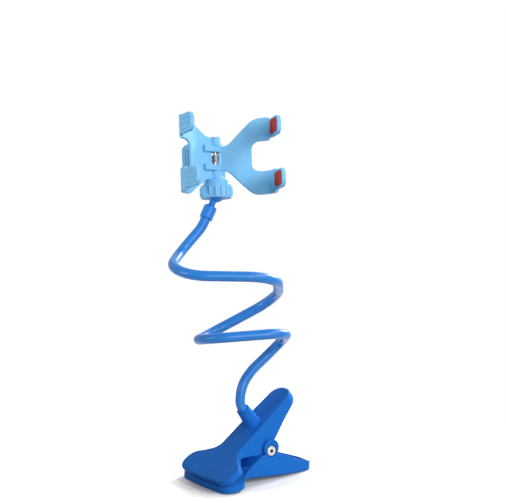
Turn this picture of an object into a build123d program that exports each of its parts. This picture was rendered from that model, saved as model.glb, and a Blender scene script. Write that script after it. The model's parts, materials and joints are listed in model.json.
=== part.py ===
from build123d import *
import os
from math import asin, atan2, cos, degrees, hypot, radians, sin

# Millimetres. +X runs from the lips of the table clip to its handles, +Z is up,
# and the origin is on the table under the middle of the whole outline. The lengths below
# are measured from the point on the table under the clip's pivot.

# Table clip: two bent levers on one hollow rivet
PLATE_OFFSET = 21.0
PLATE = 2.6
WALL = 2.5
HANDLE = 48.0
TAIL_HALF = 11.5
TAIL_ROUND = 11.0
TAIL_DEPTH = 6.5
SHOULDER_X = 14.0
SHOULDER_ROUND = 20.0
BEND_X = -22.0
LIP_LENGTH = 34.0
LIP_HALF = 34.0
LIP = 5.2
LIP_GAP = 0.3
LIP_BOW = 1.2
LIP_ROUND = 10.4
FLARE = 18.0
FLARE_TAPER = 5.0
FLARE_STEP = 9.5
FLARE_ROUND = 10.0
LOWER_HALF = 16.4
EAR_CLEAR = 0.4
UPPER_HALF = LOWER_HALF - WALL - EAR_CLEAR
LOWER_BEND = 12.0
UPPER_BEND = 6.0
LOWER_EAR = 7.2
LOWER_EAR_RISE = 2.2
UPPER_EAR = 7.5
UPPER_EAR_RISE = 0.0
EDGE_ROUND = 1.2
FLOOR_TRIM = 0.35
RIVET = 2.5
RIVET_BORE = 1.4
RIVET_HEAD = 4.1
RIVET_HEAD_THICK = 1.3
RIVET_ROUND = 0.6
RIVET_RECESS = RIVET_HEAD + 1.2
RECESS_DEPTH = 1.0
RUNNING_FIT = 0.06
GRIP_SETBACK = 6.0
GRIP_LENGTH = 20.0
GRIP_HALF = 20.0
GRIP_ROUND = 5.0
GRIP_THICK = 1.6
GRIP_SUNK = 0.8
GROOVES = 5
GROOVE = 1.2
GROOVE_DEPTH = 0.5
CUT = 60.0

# Torsion springs
JAW_WIRE = 0.8
JAW_COIL = 4.2
JAW_TURNS = 3
JAW_PITCH = 1.8
JAW_LEG = 26.0
CLAW_WIRE = 0.55
CLAW_COIL = 2.9
CLAW_TURNS = 3
CLAW_PITCH = 1.5
CLAW_LEG = 15.0
CLAW_LEG_ANGLES = (55.0, 125.0)

# Neck: a plastic jacket on a soft wire, bent by hand
JACKET = 4.0
CORE = 1.75
CORE_FIT = 0.1
PRESS_FIT = 0.02
BOSS_X = 6.9
BOSS_HEIGHT = 16.0
BOSS_TOP_R = JACKET + 1.4
BOSS_FOOT_R = BOSS_TOP_R + 1.3
BOSS_FLOOR = 4.0
BOSS_ROUND = 1.0
LEAVE = 5.0
LEAVE_RADIUS = 12.0
NECK_TURNS = [
    (-17.6, 0.2, 78.1, 24.0),
    (-6.1, 1.6, 88.3, 40.0),
    (21.8, -1.0, 109.3, 19.0),
    (-3.8, -42.8, 125.0, 18.0),
    (-66.0, -10.2, 121.1, 22.5),
    (-36.7, 32.9, 111.5, 25.0),
    (18.1, -1.1, 145.8, 27.0),
    (-22.2, -54.6, 171.8, 27.0),
    (-96.8, -12.5, 174.5, 24.5),
    (-59.6, 25.4, 184.8, 26.0),
]
LAST_STRAIGHT = 30.0
LAST_RADIUS = 36.0
NUT_FLATS = 7.0
NUT_THICK = 3.2
WASHER_R = 4.5
WASHER_THICK = 0.8
WIRE_END = 1.0
WIRE_DEPTH = 2.0
WIRE_GAP = 0.3

# Ball joint between the neck and the claw
BALL_CENTRE = (-24.6, 25.7, 229.6)
HEAD_YAW = -12.5
HEAD_LEAN = -12.5
HEAD_ROLL = 3.0
BALL_REST_TILT = 26.0
BALL = 7.0
STUD = 2.6
SLEEVE_START = 11.0
SLEEVE_END = 22.0
SLEEVE_FLOOR = 2.0
SLEEVE_ROUND = 2.0
SLEEVE_R = JACKET + 1.3
BALL_FIT = 0.1
SEAT_R = BALL + 1.3
CUP_R = SEAT_R + BALL_FIT + 1.6
CUP_MOUTH = 1.4
CUP_WALL = 2.9
CUP_ROUND = 2.5
SEAT_GAP = 0.2
SEAT_HEIGHT = 7.0
NUT_FIT = 0.15
NUT_R = CUP_R + NUT_FIT + 2.25
NUT_LENGTH = 10.0
NUT_FLANGE = 2.0
NUT_RIBS = 16
NUT_RIB_R = 0.9

# Claw: two halves on a pin, two fingers on each
BARREL = 4.7
PIN = 1.5
PIN_FLOOR = 2.0
PIN_HEAD = 2.7
PIN_HEAD_THICK = 1.2
MOVING_KNUCKLE = (5.2, 9.7)
FIXED_KNUCKLE = (MOVING_KNUCKLE[1] + 0.3, 17.0)
KNUCKLE_CLEAR = 0.5
BALL_DROP = FIXED_KNUCKLE[1] + SEAT_R + BALL_FIT + CUP_WALL
ARM = 3.0
ARM_EDGE = 0.4
ARM_ROOT = (3.0, -1.0)
ARM_BEND = (22.0, -9.0)
ELBOW = (38.5, -25.4)
TIP_X = 35.2
FORK_X = 26.0
FINGER_Z = 21.5
FINGER_HALF = 9.3
TONGUE_HALF = 7.5
TONGUE_ROUND = 5.5
LOWER_TONGUE = 36.0
LOWER_TIP = 56.6
UPPER_TONGUE = 24.0
UPPER_TIP = 49.0
PADDLE_ROOT = (2.0, 2.0)
PADDLE_END = (17.0, 27.0)
PADDLE_HALF = 15.0
PADDLE_ROUND = 6.0
RIDGES = 4
RIDGE_STEP = 2.7
RIDGE_WIDTH = 1.1
RIB_LENGTH = 16.0
RIB_WIDTH = 1.3
RIB_STEP = 4.2
RIB_PROUD = 0.6
PAD_THICK = 2.0
PAD_SUNK = 1.0
PAD_HALF = 5.6
PAD_LENGTH = 16.0
PAD_SETBACK = 2.0
PAD_ROUND = 3.0
STOP_LENGTH = 11.0
STOP_THICK = 2.5
STOP_GAP = 0.1


def outline(points):
    """A closed flat face through (x, y, corner radius) points."""
    corners = [(x, y) for x, y, radius in points]
    radii = [radius for x, y, radius in points]
    return make_face(FilletPolyline(*corners, radius=radii, close=True))


def mirrored_outline(points):
    """An outline from its +Y half, listed from the +X end to the -X end."""
    other = [(x, -y, radius) for x, y, radius in reversed(points) if y]
    return outline(points + other)


def along_y(radius, length):
    return Rot(90, 0, 0) * Cylinder(radius, length)


def sharp_edges(shape):
    """Edges where two faces meet at an angle."""
    sides = [(face, face.edges()) for face in shape.faces()]
    found = []
    for edge in shape.edges():
        near = [face.normal_at(edge @ 0.5) for face, edges in sides if edge in edges]
        if len(near) == 2 and near[0].get_angle(near[1]) > 30:
            found.append(edge)
    return found


def lip_corner(bend, depth):
    """Front corner of a lip, on its outer face or that far below it, in the lever's frame."""
    angle = radians(bend)
    x = BEND_X - LIP_LENGTH * cos(angle) - depth * sin(angle)
    z = PLATE_OFFSET + LIP_LENGTH * sin(angle) - depth * cos(angle)
    return x, z


def lever(half, bend, ear, rise):
    """One clip lever about its pivot, with its plate outwards on +Z."""
    angle = radians(bend)
    top_x, top_z = lip_corner(bend, 0)
    under_x, under_z = lip_corner(bend, LIP)
    reach = LIP_LENGTH - 2
    side = outline([
        (HANDLE, PLATE_OFFSET, 0),
        (BEND_X, PLATE_OFFSET, 30),
        (top_x, top_z, 0),
        (under_x, under_z, 0),
        (under_x + reach * cos(angle), under_z - reach * sin(angle), 3),
        (-8, 3, 0),
        (8, 3, 0),
        (26, 9, 30),
        (HANDLE, PLATE_OFFSET - TAIL_DEPTH, 3),
    ])
    side += Pos(0, -rise) * Circle(ear)
    front = top_x + LIP_BOW
    plan = mirrored_outline([
        (HANDLE, TAIL_HALF, TAIL_ROUND),
        (SHOULDER_X, half, SHOULDER_ROUND),
        (BEND_X - 2, half, 12),
        (front + FLARE + FLARE_TAPER, LIP_HALF - FLARE_STEP, 8),
        (front + FLARE, LIP_HALF, FLARE_ROUND),
        (front, LIP_HALF, LIP_ROUND),
        (front - LIP_BOW, 0, 120),
    ])
    body = extrude(plan, CUT, both=True) & extrude(Plane.XZ * side, CUT, both=True)
    outer = body.faces().filter_by(lambda f: f.normal_at().Z > 0.85)
    shared = [e for e in outer.edges() if sum(e in f.edges() for f in outer) == 1]
    body = fillet(shared, EDGE_ROUND)
    room = mirrored_outline([
        (HANDLE - WALL, TAIL_HALF - WALL, TAIL_ROUND - WALL),
        (SHOULDER_X, half - WALL, SHOULDER_ROUND),
        (BEND_X, half - WALL, 3),
    ])
    depth = PLATE_OFFSET - PLATE
    return body - Pos(0, 0, depth - CUT) * extrude(room, CUT)


def on_lip(bend, along):
    """A place on the gripping face inside a lip, measured from its front edge."""
    x, z = lip_corner(bend, LIP - GRIP_SUNK + GRIP_THICK)
    return Pos(x, 0, z) * Rot(0, bend, 0) * Pos(GRIP_SETBACK + along, 0, 0)


def grip(bend):
    """Plain rubber sheet let into the inside of a lip, in the lever's frame."""
    sheet = RectangleRounded(GRIP_LENGTH, 2 * GRIP_HALF, GRIP_ROUND)
    return on_lip(bend, GRIP_LENGTH / 2) * extrude(sheet, GRIP_THICK)


def grooved_grip(bend):
    """The same sheet with grooves across its gripping face."""
    sheet = grip(bend)
    step = GRIP_LENGTH / GROOVES
    for number in range(GROOVES):
        sheet -= on_lip(bend, (number + 0.5) * step) * Box(GROOVE, 3 * GRIP_HALF, 2 * GROOVE_DEPTH)
    return sheet


def torsion_spring(wire, coil, pitch, turns, leg, leg_angles):
    """Coil about Z, wound counter-clockwise, with a straight leg at each end."""
    start, end = leg_angles
    wound = turns + (end - start - 180) % 360 / 360
    height = wound * pitch
    helix = Rot(0, 0, start + 90) * Pos(0, 0, -height / 2) * Helix(pitch, height, coil)
    first = Plane(origin=helix @ 0, z_dir=helix % 0) * Circle(wire)
    last = Plane(origin=helix @ 1, z_dir=helix % 1) * Circle(wire)
    spring = sweep(first, helix, is_frenet=True)
    spring += extrude(first, -leg)
    spring += extrude(last, leg)
    return spring


# Where the levers stand: the lower one rests on its lip and its handle end
lower_front = lip_corner(LOWER_BEND, 0)
LOWER_TILT = degrees(atan2(lower_front[1] - PLATE_OFFSET, HANDLE - lower_front[0]))
tilt = radians(LOWER_TILT)
PIVOT_Z = HANDLE * sin(tilt) + PLATE_OFFSET * cos(tilt) - FLOOR_TRIM
LOWER = Pos(0, 0, PIVOT_Z) * Rot(0, LOWER_TILT, 0)

# The upper one closes until its lip meets the lower lip
lower_lip = lip_corner(LOWER_BEND, LIP)
lower_lip_z = PIVOT_Z - lower_lip[0] * sin(tilt) - lower_lip[1] * cos(tilt)
upper_lip = lip_corner(UPPER_BEND, LIP)
fall = PIVOT_Z - lower_lip_z - LIP_GAP
UPPER_TILT = degrees(asin(fall / hypot(*upper_lip)) + atan2(upper_lip[1], -upper_lip[0]))
UPPER = Pos(0, 0, PIVOT_Z) * Rot(0, -UPPER_TILT, 0)

parts = {}
standing = (Align.CENTER, Align.CENTER, Align.MIN)
hanging = (Align.CENTER, Align.CENTER, Align.MAX)

# Lower lever with counterbored ears
lower = lever(LOWER_HALF, LOWER_BEND, LOWER_EAR, LOWER_EAR_RISE)
lower -= grip(LOWER_BEND)
lower -= along_y(RIVET + RUNNING_FIT, 2 * CUT)
for side in (-1, 1):
    lower -= Pos(0, side * (LOWER_HALF - RECESS_DEPTH + CUT / 2), 0) * along_y(RIVET_RECESS, CUT)
lower = LOWER * mirror(lower, Plane.XY)
parts["lower_jaw"] = lower - Pos(0, 0, -CUT) * Box(4 * CUT, 4 * CUT, 2 * CUT)
parts["lower_jaw_pad"] = LOWER * mirror(grooved_grip(LOWER_BEND), Plane.XY)

# Upper lever with the socket boss of the neck
boss_foot = PLATE_OFFSET - PLATE / 2
boss = Cone(BOSS_FOOT_R, BOSS_TOP_R, BOSS_HEIGHT + PLATE / 2, align=standing)
upper = lever(UPPER_HALF, UPPER_BEND, UPPER_EAR, UPPER_EAR_RISE)
upper += Pos(BOSS_X, 0, boss_foot) * boss
foot = upper.edges().filter_by(GeomType.CIRCLE).sort_by_distance((BOSS_X, 0, PLATE_OFFSET))[0]
upper = fillet(foot, BOSS_ROUND)
upper -= Pos(BOSS_X, 0, PLATE_OFFSET + BOSS_FLOOR) * Cylinder(JACKET + PRESS_FIT, CUT, align=standing)
upper -= Pos(BOSS_X, 0, PLATE_OFFSET) * Cylinder(CORE + CORE_FIT, CUT)
upper -= grip(UPPER_BEND)
upper -= along_y(RIVET + RUNNING_FIT, 2 * CUT)
parts["upper_jaw"] = UPPER * upper
parts["upper_jaw_pad"] = UPPER * grooved_grip(UPPER_BEND)

# Hollow rivet through both levers
head_y = LOWER_HALF - RECESS_DEPTH + RIVET_HEAD_THICK / 2
rivet = along_y(RIVET, 2 * head_y)
for side in (-1, 1):
    disc = Cylinder(RIVET_HEAD, RIVET_HEAD_THICK)
    disc = fillet(disc.faces().sort_by(Axis.Z)[-1].edges(), RIVET_ROUND)
    rivet += Pos(0, side * head_y, 0) * Rot(-90 * side, 0, 0) * disc
rivet -= along_y(RIVET_BORE, 2 * CUT)
parts["pivot_rivet"] = Pos(0, 0, PIVOT_Z) * rivet

# Spring on the rivet, its legs against the insides of the handles
spread = degrees(asin((PLATE_OFFSET - PLATE - JAW_WIRE - LIP_GAP) / hypot(JAW_LEG, JAW_COIL)))
spread -= degrees(atan2(JAW_COIL, JAW_LEG))
legs = (LOWER_TILT + spread, -UPPER_TILT - spread)
coil = torsion_spring(JAW_WIRE, JAW_COIL, JAW_PITCH, JAW_TURNS, JAW_LEG, legs)
parts["jaw_spring"] = Pos(0, 0, PIVOT_Z) * Rot(-90, 0, 0) * coil

# Nut and washer that hold the neck's wire from inside the upper lever
under = PLATE_OFFSET - PLATE
washer = Cylinder(WASHER_R, WASHER_THICK) - Cylinder(CORE, CUT)
nut = extrude(RegularPolygon(NUT_FLATS / 2, 6, major_radius=False), NUT_THICK / 2, both=True)
nut -= Cylinder(CORE, CUT)
parts["neck_washer"] = UPPER * Pos(BOSS_X, 0, under - WASHER_THICK / 2) * washer
parts["neck_nut"] = UPPER * Pos(BOSS_X, 0, under - WASHER_THICK - NUT_THICK / 2) * nut

# The claw stands on its ball; the neck's end leans from it
HEAD_AT_BALL = Pos(*BALL_CENTRE) * Rot(0, 0, HEAD_YAW) * Rot(HEAD_LEAN, 0, 0) * Rot(0, HEAD_ROLL, 0)
HEAD = HEAD_AT_BALL * Pos(0, 0, BALL_DROP)
NECK_END = HEAD_AT_BALL * Rot(0, BALL_REST_TILT, 0)


def neck_path(first, last):
    """Route of the neck from a height on the boss axis to a depth below the ball."""
    start = (UPPER * Pos(BOSS_X, 0, first)).position
    leave = (UPPER * Pos(BOSS_X, 0, PLATE_OFFSET + BOSS_HEIGHT + LEAVE)).position
    arrive = (NECK_END * Pos(0, 0, -LAST_STRAIGHT)).position
    end = (NECK_END * Pos(0, 0, -last)).position
    turns = [(x, y, z) for x, y, z, radius in NECK_TURNS]
    radii = [LEAVE_RADIUS] + [radius for x, y, z, radius in NECK_TURNS] + [LAST_RADIUS]
    return FilletPolyline(start, leave, *turns, arrive, end, radius=radii)


jacket_path = neck_path(PLATE_OFFSET + BOSS_FLOOR, SLEEVE_START + SLEEVE_FLOOR)
core_path = neck_path(under - WASHER_THICK - NUT_THICK - WIRE_END, SLEEVE_START - WIRE_DEPTH)
ring = Circle(JACKET) - Circle(CORE + CORE_FIT)
parts["neck_jacket"] = sweep(Plane(origin=jacket_path @ 0, z_dir=jacket_path % 0) * ring, jacket_path)
parts["neck_core_wire"] = sweep(Plane(origin=core_path @ 0, z_dir=core_path % 0) * Circle(CORE), core_path)

# Ball with its stud and the sleeve that turns on the neck's end
ball = Sphere(BALL) + Cylinder(STUD, SLEEVE_START + 1, align=hanging)
sleeve = Pos(0, 0, -SLEEVE_START) * Cylinder(SLEEVE_R, SLEEVE_END - SLEEVE_START, align=hanging)
ball += fillet(sleeve.faces().sort_by(Axis.Z)[-1].edges(), SLEEVE_ROUND)
ball -= Pos(0, 0, CORE_FIT - SLEEVE_START - SLEEVE_FLOOR) * Cylinder(JACKET + CORE_FIT, CUT, align=hanging)
ball -= Pos(0, 0, WIRE_DEPTH + WIRE_GAP - SLEEVE_START) * Cylinder(CORE + CORE_FIT, CUT, align=hanging)
parts["ball_end"] = NECK_END * ball

# Friction seat over the ball, and the ring nut that clamps it
seat = Sphere(SEAT_R) - Sphere(BALL + BALL_FIT)
seat &= Pos(0, 0, SEAT_GAP - CUP_MOUTH) * Cylinder(CUP_R, SEAT_HEIGHT, align=standing)
parts["ball_seat"] = HEAD_AT_BALL * seat
nut_floor = -CUP_MOUTH - SEAT_GAP - NUT_FLANGE
ring_nut = Pos(0, 0, nut_floor) * Cylinder(NUT_R, NUT_LENGTH, align=standing)
nut_rib = Pos(0, 0, nut_floor + 1.5) * Cylinder(NUT_RIB_R, NUT_LENGTH - 3, align=standing)
ring_nut += PolarLocations(NUT_R, NUT_RIBS) * nut_rib
ring_nut -= Pos(0, 0, nut_floor + NUT_FLANGE) * Cylinder(CUP_R + NUT_FIT, CUT, align=standing)
ring_nut -= Sphere(BALL + BALL_FIT)
parts["ring_nut"] = HEAD_AT_BALL * ring_nut

# One claw half, the right-hand one: an arm that forks into two fingers, and a squeeze paddle.
# The front of the claw is -Y and its hinge is Z. The upper fingers are the shorter ones.
FINGER_LEAN = degrees(atan2(ELBOW[0] - TIP_X, LOWER_TIP + ELBOW[1]))
FINGERS = ((-FINGER_Z, LOWER_TONGUE, LOWER_TIP), (FINGER_Z, UPPER_TONGUE, UPPER_TIP))


def strip(points, radii, thickness):
    """A flat strip of even thickness along a bent line."""
    return make_face(offset(FilletPolyline(*points, radius=radii), thickness / 2, side=Side.BOTH))


def on_finger(along, out, z):
    """A place on the right-hand fingers, measured from the elbow."""
    return Pos(*ELBOW, 0) * Rot(0, 0, -FINGER_LEAN) * Pos(out, -along, z)


def finger_pad(z, tip):
    block = Box(PAD_THICK, PAD_LENGTH, 2 * PAD_HALF)
    block = fillet(block.edges().filter_by(Axis.X), PAD_ROUND)
    along = tip + ELBOW[1] - PAD_SETBACK - PAD_LENGTH / 2
    return on_finger(along, PAD_SUNK - (ARM + PAD_THICK) / 2, z) * block


def tongues():
    """Side outline of the arm, which ends in a narrow tongue on each finger."""
    points = [(CUT, -CUT, 0)]
    for (z, start, tip), (low, high) in zip(FINGERS, ((-CUT, 0), (0, CUT))):
        points += [
            (-start, low, 0),
            (-start, z - TONGUE_HALF, 1.2),
            (-tip, z - TONGUE_HALF, TONGUE_ROUND),
            (-tip, z + TONGUE_HALF, TONGUE_ROUND),
            (-start, z + TONGUE_HALF, 1.2),
            (-start, high, 0),
        ]
    return outline(points + [(CUT, CUT, 0)])


def claw_arm(hub):
    top = FINGER_Z + FINGER_HALF
    gap = FINGER_Z - FINGER_HALF
    line = strip([ARM_ROOT, ARM_BEND, ELBOW, (TIP_X, -LOWER_TIP)], [24, 11], ARM)
    fork = mirrored_outline([
        (FORK_X, gap, 6),
        (CUT, gap, 0),
        (CUT, top, 0),
        (FORK_X + 2, top, 8),
        (9, hub, 10),
        (0, hub, 0),
    ])
    arm = extrude(line, top, both=True) & extrude(Plane.XZ * fork, CUT, both=True)
    arm &= extrude(Plane.YZ * tongues(), CUT, both=True)
    arm = fillet(sharp_edges(arm), ARM_EDGE)
    for z, start, tip in FINGERS:
        along = tip + ELBOW[1] - PAD_SETBACK - RIB_LENGTH / 2
        for step in (-1, 0, 1):
            rib = Box(2 * RIB_PROUD, RIB_LENGTH, RIB_WIDTH)
            arm += on_finger(along, ARM / 2, z + step * RIB_STEP) * rib
        arm -= finger_pad(z, tip)
    return arm


def claw_paddle():
    line = make_face(offset(Line(PADDLE_ROOT, PADDLE_END), ARM / 2, side=Side.BOTH))
    side = Pos(PADDLE_END[1] + ARM / 4 - CUT / 2, 0) * RectangleRounded(CUT, 2 * PADDLE_HALF, PADDLE_ROUND)
    paddle = extrude(line, CUT, both=True) & extrude(Plane.YZ * side, CUT, both=True)
    paddle = fillet(sharp_edges(paddle), ARM_EDGE)
    lean = degrees(atan2(PADDLE_END[1] - PADDLE_ROOT[1], PADDLE_END[0] - PADDLE_ROOT[0]))
    ridge = Box(RIDGE_WIDTH, 2 * RIB_PROUD, 1.4 * PADDLE_HALF)
    for number in range(1, RIDGES + 1):
        place = Pos(*PADDLE_END, 0) * Rot(0, 0, lean) * Pos(-number * RIDGE_STEP, -ARM / 2, 0)
        paddle += place * ridge
    return paddle


def knuckle(span):
    low, high = span
    return Pos(0, 0, low) * Cylinder(BARREL, high - low, align=standing)


# Fixed half: outer knuckles, and the cup of the ball joint below
inside, outside = FIXED_KNUCKLE
fixed = mirror(claw_arm(outside) + claw_paddle(), Plane.YZ)
fixed -= Cylinder(BARREL + KNUCKLE_CLEAR, 2 * inside)
fixed += knuckle((inside, outside)) + knuckle((-outside, -inside))
cup_top = BALL_DROP - outside
cup = Pos(0, 0, -BALL_DROP - CUP_MOUTH) * Cylinder(CUP_R, cup_top + CUP_MOUTH, align=standing)
cup = fillet(cup.faces().sort_by(Axis.Z)[-1].edges(), CUP_ROUND)
fixed += cup
fixed -= Pos(0, 0, -BALL_DROP) * Sphere(SEAT_R + BALL_FIT)
fixed -= Pos(0, 0, -BALL_DROP) * Cylinder(SEAT_R + BALL_FIT, CUT, align=hanging)
fixed -= Pos(0, 0, -outside + PIN_FLOOR) * Cylinder(PIN, CUT, align=standing)
parts["fixed_claw"] = HEAD * fixed

# Moving half: inner knuckles, free of the outer ones and of the spring. Their stop tabs rest
# on the front of the fixed arm, so that the spring can't close the claw any further.
low, high = MOVING_KNUCKLE
moving = claw_arm(high) + claw_paddle()
moving -= Cylinder(BARREL + KNUCKLE_CLEAR, 2 * low)
stop_lean = degrees(atan2(ARM_BEND[1] - ARM_ROOT[1], ARM_ROOT[0] - ARM_BEND[0]))
stop = Box(STOP_LENGTH, STOP_THICK, high - low, align=(Align.MIN, Align.MIN, Align.CENTER))
for side in (-1, 1):
    moving -= Pos(0, 0, side * (high + CUT / 2 + RUNNING_FIT)) * Cylinder(BARREL + KNUCKLE_CLEAR, CUT)
    fixed_root = Pos(-ARM_ROOT[0], ARM_ROOT[1], side * (low + high) / 2)
    moving += fixed_root * Rot(0, 0, stop_lean) * Pos(0, ARM / 2 + STOP_GAP, 0) * stop
moving += knuckle((low, high)) + knuckle((-high, -low))
moving -= Cylinder(PIN + RUNNING_FIT, CUT)
parts["moving_claw"] = HEAD * moving

# Hinge pin with a head, its spring, and the rubber pads
pin = Pos(0, 0, -outside + PIN_FLOOR) * Cylinder(PIN, 2 * outside - PIN_FLOOR, align=standing)
pin += Pos(0, 0, outside) * Cylinder(PIN_HEAD, PIN_HEAD_THICK, align=standing)
parts["claw_pin"] = HEAD * pin
claw_coil = torsion_spring(CLAW_WIRE, CLAW_COIL, CLAW_PITCH, CLAW_TURNS, CLAW_LEG, CLAW_LEG_ANGLES)
parts["claw_spring"] = HEAD * claw_coil
for place, (z, start, tip) in zip(("lower", "upper"), FINGERS):
    parts[f"{place}_moving_pad"] = HEAD * finger_pad(z, tip)
    parts[f"{place}_fixed_pad"] = HEAD * mirror(finger_pad(z, tip), Plane.YZ)

# The finished holder is moved so that the middle of its outline is over the origin
boxes = [shape.bounding_box() for shape in parts.values()]
middle_x = (min(box.min.X for box in boxes) + max(box.max.X for box in boxes)) / 2
middle_y = (min(box.min.Y for box in boxes) + max(box.max.Y for box in boxes)) / 2
CENTRED = Pos(-middle_x, -middle_y, 0)

os.makedirs("parts", exist_ok=True)
for name, shape in parts.items():
    export_step(CENTRED * shape, f"parts/{name}.step")
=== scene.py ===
# %% [markdown]
# # A gooseneck holder
# The holder is a sprung table clip, a bending neck in loose turns and a sprung claw with four
# fingers. Its solids come ready made at their real size, so this lesson is about what the eye needs
# on top of them: a camera, soft light and one honest finish for each material.

# %% Load the holder
import json
import math

import bpy
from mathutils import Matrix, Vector

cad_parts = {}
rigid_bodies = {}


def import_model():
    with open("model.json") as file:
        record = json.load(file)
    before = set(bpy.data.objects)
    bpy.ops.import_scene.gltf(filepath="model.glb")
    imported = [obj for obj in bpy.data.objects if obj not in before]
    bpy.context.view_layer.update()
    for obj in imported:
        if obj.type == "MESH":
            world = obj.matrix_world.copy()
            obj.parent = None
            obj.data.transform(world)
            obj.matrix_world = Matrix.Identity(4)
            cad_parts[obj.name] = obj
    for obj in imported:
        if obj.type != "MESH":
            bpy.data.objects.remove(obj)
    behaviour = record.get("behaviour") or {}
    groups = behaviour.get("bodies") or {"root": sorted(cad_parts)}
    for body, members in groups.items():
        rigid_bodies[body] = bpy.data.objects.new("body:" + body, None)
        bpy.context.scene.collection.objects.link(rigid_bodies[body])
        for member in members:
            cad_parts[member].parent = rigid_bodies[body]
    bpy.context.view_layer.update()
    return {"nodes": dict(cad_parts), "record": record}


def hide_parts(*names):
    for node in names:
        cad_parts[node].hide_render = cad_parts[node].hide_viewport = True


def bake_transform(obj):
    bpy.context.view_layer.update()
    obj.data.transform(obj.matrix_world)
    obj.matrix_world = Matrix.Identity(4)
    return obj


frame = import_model()
MM = 0.001

# %% [markdown]
# ## Camera
# A picture taken from a little over a metre away with a long lens keeps the upright turns of the
# neck from leaning apart. A camera could be turned by angles, but it is easier to keep true when
# it is aimed: here it stands at a bearing and a height, and looks at the middle of the picture.

# %% Camera
IMAGE_WIDTH = 506
SENSOR = 36.0
FOCAL_PIXELS = 1500.0
BEARING = math.radians(35.0)
LOOKING_DOWN = math.radians(7.5)
DISTANCE = 1200 * MM
AIM = Vector((15.1 * MM, -3.3 * MM, 184.0 * MM))

back = Vector((-math.sin(BEARING), -math.cos(BEARING), 0.0)) * math.cos(LOOKING_DOWN)
back.z = math.sin(LOOKING_DOWN)
camera = bpy.data.objects.new("camera", bpy.data.cameras.new("camera"))
bpy.context.scene.collection.objects.link(camera)
camera.data.sensor_width = SENSOR
camera.data.lens = FOCAL_PIXELS * SENSOR / IMAGE_WIDTH
camera.location = AIM + back * DISTANCE
camera.rotation_euler = (-back).to_track_quat("-Z", "Y").to_euler()
bpy.context.scene.camera = camera
print("lens in mm", round(camera.data.lens, 1), "camera at", [round(v, 3) for v in camera.location])

# %% [markdown]
# ## Colours and nodes
# Colours are given as sRGB hex values, but shaders add light in linear values, so one
# function turns the first into the second. A second one adds a node: it takes the node's settings,
# and for each socket either a value or the output that feeds it.

# %% Colour and node helpers
def linear(hex_colour):
    """The linear RGBA values of an sRGB colour such as #2A78D2."""
    channels = [int(hex_colour[i:i + 2], 16) / 255 for i in (1, 3, 5)]
    return tuple(c / 12.92 if c <= 0.04045 else ((c + 0.055) / 1.055) ** 2.4 for c in channels) + (1.0,)


def add(tree, kind, sockets=None, **settings):
    """Adds a shader node, sets it up and feeds its sockets with values or other nodes' outputs."""
    node = tree.nodes.new("ShaderNode" + kind)
    for name, value in settings.items():
        setattr(node, name, value)
    for name, value in (sockets or {}).items():
        if isinstance(value, bpy.types.NodeSocket):
            tree.links.new(value, node.inputs[name])
        else:
            node.inputs[name].default_value = value
    return node


def blank_material(name):
    """A material, and its emptied tree."""
    material = bpy.data.materials.new(name)
    material.use_nodes = True
    material.node_tree.nodes.clear()
    return material, material.node_tree


print("a clear blue in linear values", [round(c, 3) for c in linear("#2A78D2")])

# %% [markdown]
# ## Floor
# The holder stands on a white sweep and leaves only a thin shadow where it touches. One disc of
# paper can do that. To the camera, and in mirrors and glass, it is white paper with a glow that
# grows away from the clip, so it fades into the white behind it while the contact shadow stays. To
# every other ray it is grey, because white paper would throw light up under the neck and flatten
# its turns.

# %% Floor
FLOOR_RADIUS = 0.3
FLOOR_CORNERS = 96
CONTACT_GLOW = 0.04
OPEN_GLOW = 0.7
CLIP_MIDDLE = Vector((5.0, -8.0, 0.0)) * MM
CLIP_HALF = Vector((46.0, 34.0, 1.0)) * MM
FADE_START = 1.0
FADE_END = 1.7


def seen_as_background(tree):
    """An output that is 1 for the rays that should meet a white background, and 0 for the rest."""
    rays = add(tree, "LightPath").outputs
    mirrored = add(tree, "Math", {
        0: rays["Is Glossy Ray"], 1: rays["Is Transmission Ray"],
    }, operation="MAXIMUM")
    seen = add(tree, "Math", {0: rays["Is Camera Ray"], 1: mirrored.outputs[0]}, operation="MAXIMUM")
    return seen.outputs[0]


bpy.ops.mesh.primitive_circle_add(vertices=FLOOR_CORNERS, radius=FLOOR_RADIUS, fill_type="NGON")
floor = bpy.context.object
floor.name = "floor"
paper, tree = blank_material("white_paper_sweep")
shade = add(tree, "BsdfDiffuse", {"Color": linear("#A8A8A8")})
white = add(tree, "BsdfDiffuse", {"Color": linear("#DADADA")})
place = add(tree, "TexCoord").outputs["Object"]
from_clip = add(tree, "VectorMath", {0: place, 1: CLIP_MIDDLE}, operation="SUBTRACT")
in_clips = add(tree, "VectorMath", {0: from_clip.outputs[0], 1: CLIP_HALF}, operation="DIVIDE")
away = add(tree, "VectorMath", {0: in_clips.outputs[0]}, operation="LENGTH")
strength = add(tree, "MapRange", {
    0: away.outputs["Value"], 1: FADE_START, 2: FADE_END, 3: CONTACT_GLOW, 4: OPEN_GLOW,
})
glow = add(tree, "Emission", {"Color": linear("#FFFFFF"), "Strength": strength.outputs[0]})
bright = add(tree, "AddShader", {0: white.outputs[0], 1: glow.outputs[0]})
shown = add(tree, "MixShader", {0: seen_as_background(tree), 1: shade.outputs[0], 2: bright.outputs[0]})
add(tree, "OutputMaterial", {"Surface": shown.outputs[0]})
floor.data.materials.append(paper)
print("floor radius in mm", FLOOR_RADIUS / MM)

# %% [markdown]
# ## Light
# A broad softbox in front lights the sides of the clip and leaves its sloping top in shade. One
# high on the right leaves the soft bright patches on the neck's turns, and one behind draws the
# thin shadow in front of the lips. From the left a spot with a soft edge lights the claw and fades
# out over the neck, so that it stays off the clip. A pale sky fills in the rest, and where the
# background shows it is plain white.

# %% Sky and lamps
SKY = 0.26
PLAIN_WHITE = 1.0
SPOT_CONE = math.radians(24)

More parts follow.
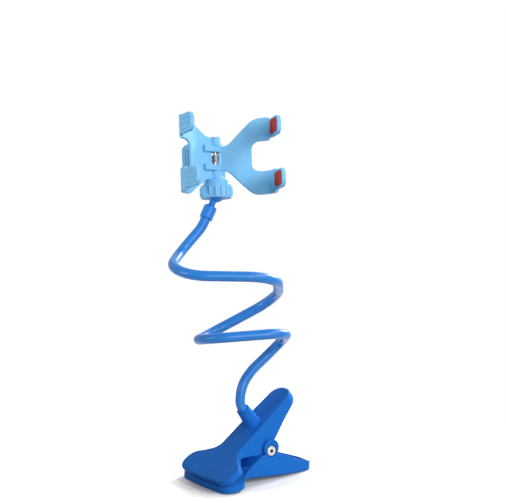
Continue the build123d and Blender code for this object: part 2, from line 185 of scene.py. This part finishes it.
world = bpy.data.worlds.new("pale_sky")
bpy.context.scene.world = world
world.use_nodes = True
tree = world.node_tree
tree.nodes.clear()
sky = add(tree, "Background", {"Color": linear("#FFFFFF"), "Strength": SKY})
white = add(tree, "Background", {"Color": linear("#FFFFFF"), "Strength": PLAIN_WHITE})
mixed = add(tree, "MixShader", {0: seen_as_background(tree), 1: sky.outputs[0], 2: white.outputs[0]})
add(tree, "OutputWorld", {"Surface": mixed.outputs[0]})

ahead = Vector((math.sin(BEARING), math.cos(BEARING), 0.0))
right = Vector((math.cos(BEARING), -math.sin(BEARING), 0.0))


def put_up(name, kind, place, aim_height, watts, **settings):
    """A lamp, placed in metres to the right, ahead and up as the camera sees the holder."""
    light = bpy.data.lights.new(name, kind)
    light.energy = watts
    for setting, value in settings.items():
        setattr(light, setting, value)
    stand = bpy.data.objects.new(name, light)
    bpy.context.scene.collection.objects.link(stand)
    stand.location = right * place[0] + ahead * place[1] + Vector((0.0, 0.0, place[2]))
    target = Vector((0.0, 0.0, aim_height))
    stand.rotation_euler = (target - stand.location).to_track_quat("-Z", "Y").to_euler()


put_up("front_softbox", "AREA", place=(0.6, -1.4, 0.5), aim_height=0.15, watts=12.0, size=0.7)
put_up("right_softbox", "AREA", place=(0.8, -0.4, 0.85), aim_height=0.15, watts=6.0, size=0.4)
put_up("back_softbox", "AREA", place=(0.75, 0.85, 0.75), aim_height=0.03, watts=19.0, size=0.3)
put_up("left_spot", "SPOT", place=(-1.0, -0.55, 0.45), aim_height=0.29, watts=28.0,
       spot_size=SPOT_CONE, spot_blend=1.0, shadow_soft_size=0.12)
bpy.context.scene.view_settings.view_transform = "Standard"
print("sky", SKY, "lamps", [light.name for light in bpy.data.lights])

# %% [markdown]
# ## Moulded plastic
# The clip and the claw are injection moulded ABS, and the seat around the ball is moulded nylon.
# The mould's walls are spark eroded to a fine grain, so the plastic has a soft sheen and never a
# mirror, and the melt's flow leaves the colour a shade deeper here and there. A flat colour would
# look like a drawing, so two noises do this: a broad one for the flow and a fine one for the grain.
# The grain scatters light, so little is left of the gloss that smooth plastic has.

# %% Moulded plastic finish
# ABS, nylon and rubber all lie close to this
MOULDED_IOR = 1.54
GRAINED_GLOSS = 0.05
SHEEN_SPREAD = 0.06
FLOW_MM = 18.0
# The real grain is about 0.1 mm, too fine to show, so it is drawn at 0.9 mm
GRAIN_MM = 0.9
GRAIN_DEPTH_MM = 0.03
GRAIN_STRENGTH = 0.5


def moulded(name, colour, deeper, roughness, depth_mm=GRAIN_DEPTH_MM, grain_mm=GRAIN_MM, flow_mm=FLOW_MM):
    """A moulded finish: two near colours in broad patches, under a fine grain."""
    material, tree = blank_material(name)
    place = add(tree, "TexCoord").outputs["Object"]
    flow = add(tree, "TexNoise", {"Vector": place, "Scale": 1 / (flow_mm * MM), "Detail": 3.0}).outputs[0]
    tint = add(tree, "Mix", {0: flow, 6: linear(deeper), 7: linear(colour)}, data_type="RGBA")
    grain = add(tree, "TexNoise", {"Vector": place, "Scale": 1 / (grain_mm * MM), "Detail": 2.0}).outputs[0]
    sheen = add(tree, "MapRange", {0: grain, 3: roughness - SHEEN_SPREAD, 4: roughness + SHEEN_SPREAD})
    relief = add(tree, "Bump", {"Height": grain, "Distance": depth_mm * MM, "Strength": GRAIN_STRENGTH})
    surface = add(tree, "BsdfPrincipled", {
        "Base Color": tint.outputs[2],
        "Roughness": sheen.outputs[0],
        "Normal": relief.outputs[0],
        "IOR": MOULDED_IOR,
        "Specular IOR Level": GRAINED_GLOSS,
    })
    add(tree, "OutputMaterial", {"Surface": surface.outputs[0]})
    return material


clip_abs = moulded("clip_abs_moulded", "#1F70CA", "#1C68C2", roughness=0.42)
claw_abs = moulded("claw_abs_moulded", "#82C4EE", "#7ABCE6", roughness=0.42)
seat_nylon = moulded("seat_nylon_moulded", "#E4E2DA", "#DAD7CD", roughness=0.5, depth_mm=0.02)
print("moulded plastics", clip_abs.name, claw_abs.name, seat_nylon.name)

# %% [markdown]
# ## Neck cover
# The neck is soft PVC pulled over a bending wire. It leaves the extruder smooth, so it shines more
# than the moulded parts, and the die leaves it slightly uneven. Its sheen is a lower roughness, and
# a slow noise gives the gentle waves that break up the long highlights. The ball on its end is as
# blue and as smooth, so it takes this finish too.

# %% Neck cover finish
PVC_IOR = 1.53
PVC_ROUGHNESS = 0.36
PVC_GLOSS = 0.45
DIE_WAVE_MM = 6.0
DIE_WAVE_DEPTH_MM = 0.08
DIE_WAVE_STRENGTH = 0.1

neck_pvc, tree = blank_material("neck_pvc_extruded")
place = add(tree, "TexCoord").outputs["Object"]
wave = add(tree, "TexNoise", {"Vector": place, "Scale": 1 / (DIE_WAVE_MM * MM), "Detail": 0.0}).outputs[0]
tint = add(tree, "Mix", {0: wave, 6: linear("#086EC4"), 7: linear("#0E7CD0")}, data_type="RGBA")
relief = add(tree, "Bump", {
    "Height": wave,
    "Distance": DIE_WAVE_DEPTH_MM * MM,
    "Strength": DIE_WAVE_STRENGTH,
})
surface = add(tree, "BsdfPrincipled", {
    "Base Color": tint.outputs[2],
    "Normal": relief.outputs[0],
    "Roughness": PVC_ROUGHNESS,
    "IOR": PVC_IOR,
    "Specular IOR Level": PVC_GLOSS,
})
add(tree, "OutputMaterial", {"Surface": surface.outputs[0]})
print("neck cover", neck_pvc.name)

# %% [markdown]
# ## Rubber
# The finger pads and the grips in the lips are moulded rubber. Rubber is matt because its skin
# copies a blasted mould, and the soft red pads are foamed, which leaves them mottled. The same
# finish serves, with a rougher skin, a deeper grain and, on the pads, small uneven patches.

# %% Rubber finish
FOAM_MM = 2.5
# A blasted skin is finer than this too, and is drawn as coarse as it needs to show
SKIN_MM = 0.7

pad_rubber = moulded("pad_rubber_foamed", "#C84B46", "#A43A37", roughness=0.75,
                     depth_mm=0.06, grain_mm=SKIN_MM, flow_mm=FOAM_MM)
grip_rubber = moulded("grip_rubber_blasted", "#25282D", "#1B1E22", roughness=0.72,
                      depth_mm=0.05, grain_mm=SKIN_MM)
print("rubbers", pad_rubber.name, grip_rubber.name)

# %% [markdown]
# ## Metal
# The rivet, the hinge pin, and the nut and washer that hold the neck are nickel plated steel. The
# springs are bare drawn wire, and the core of the neck is soft aluminium. A metal's colour is its
# reflection, so the base colour is pale and metallic is full. What tells them apart is the
# roughness that the making leaves, and the faint stain of oil and air between the drawing marks.

# %% Metal finishes
# Real drawing marks are under 0.1 mm, too fine to show, so they are drawn at 0.8 mm
MARK_MM = 0.8
MARK_SPREAD = 0.08


def metal(name, colour, stain, roughness):
    """A bare or plated metal, with stain and roughness that follow the marks on it."""
    material, tree = blank_material(name)
    place = add(tree, "TexCoord").outputs["Object"]
    marks = add(tree, "TexNoise", {"Vector": place, "Scale": 1 / (MARK_MM * MM), "Detail": 4.0}).outputs[0]
    tint = add(tree, "Mix", {0: marks, 6: linear(stain), 7: linear(colour)}, data_type="RGBA")
    sheen = add(tree, "MapRange", {0: marks, 3: roughness - MARK_SPREAD, 4: roughness + MARK_SPREAD})
    surface = add(tree, "BsdfPrincipled", {
        "Base Color": tint.outputs[2],
        "Metallic": 1.0,
        "Roughness": sheen.outputs[0],
    })
    add(tree, "OutputMaterial", {"Surface": surface.outputs[0]})
    return material


plated_steel = metal("nickel_plated_steel", "#C8C5BE", "#ACA9A3", roughness=0.34)
spring_wire = metal("drawn_spring_steel", "#B2B7BB", "#969A9D", roughness=0.32)
core_aluminium = metal("drawn_aluminium_wire", "#DCDEE0", "#C6C8C9", roughness=0.38)
print("metals", plated_steel.name, spring_wire.name, core_aluminium.name)

# %% [markdown]
# ## Dressing the solids
# Each solid carries the name of its material slot in the record, so the finishes are handed out by
# slot. That way a new piece made of the same stuff gets the same finish without another line.

# %% Hand out the finishes
finishes = {
    "clip_abs": clip_abs,
    "claw_abs": claw_abs,
    "ball_plastic": neck_pvc,
    "seat_nylon": seat_nylon,
    "neck_plastic": neck_pvc,
    "pad_rubber": pad_rubber,
    "grip_rubber": grip_rubber,
    "plated_steel": plated_steel,
    "spring_steel": spring_wire,
    "core_aluminium": core_aluminium,
}
for part in frame["record"]["subparts"]:
    solid = frame["nodes"][part["node"]]
    solid.data.materials.clear()
    solid.data.materials.append(finishes[part["material_slot"]])

# %% [markdown]
# ## Spring copies
# A torsion spring is a coil of hard wire with two straight legs. When a lever is squeezed one leg
# goes with it and the coil winds up. A stiff spring would be left behind and cut into the plastic.
# Each one here is a copy of its solid that stands in its place, while the solid itself is hidden.

joints = {joint["name"]: joint for joint in frame["record"]["behaviour"]["joints"]}


def winding_spring(node, joint):
    """A copy of a spring's solid that takes its place, with the solid hidden."""
    spring = bpy.data.objects.new(node + "_wound", frame["nodes"][node].data.copy())
    bpy.context.scene.collection.objects.link(spring)
    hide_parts(node)
    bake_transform(spring)
    print(spring.name, "bends between", joint["parent"], "and", joint["child"])


winding_spring("jaw_spring", joints["clip_open"])
# The claw's moving half takes the leg at the lower end
winding_spring("claw_spring", joints["claw_open"])
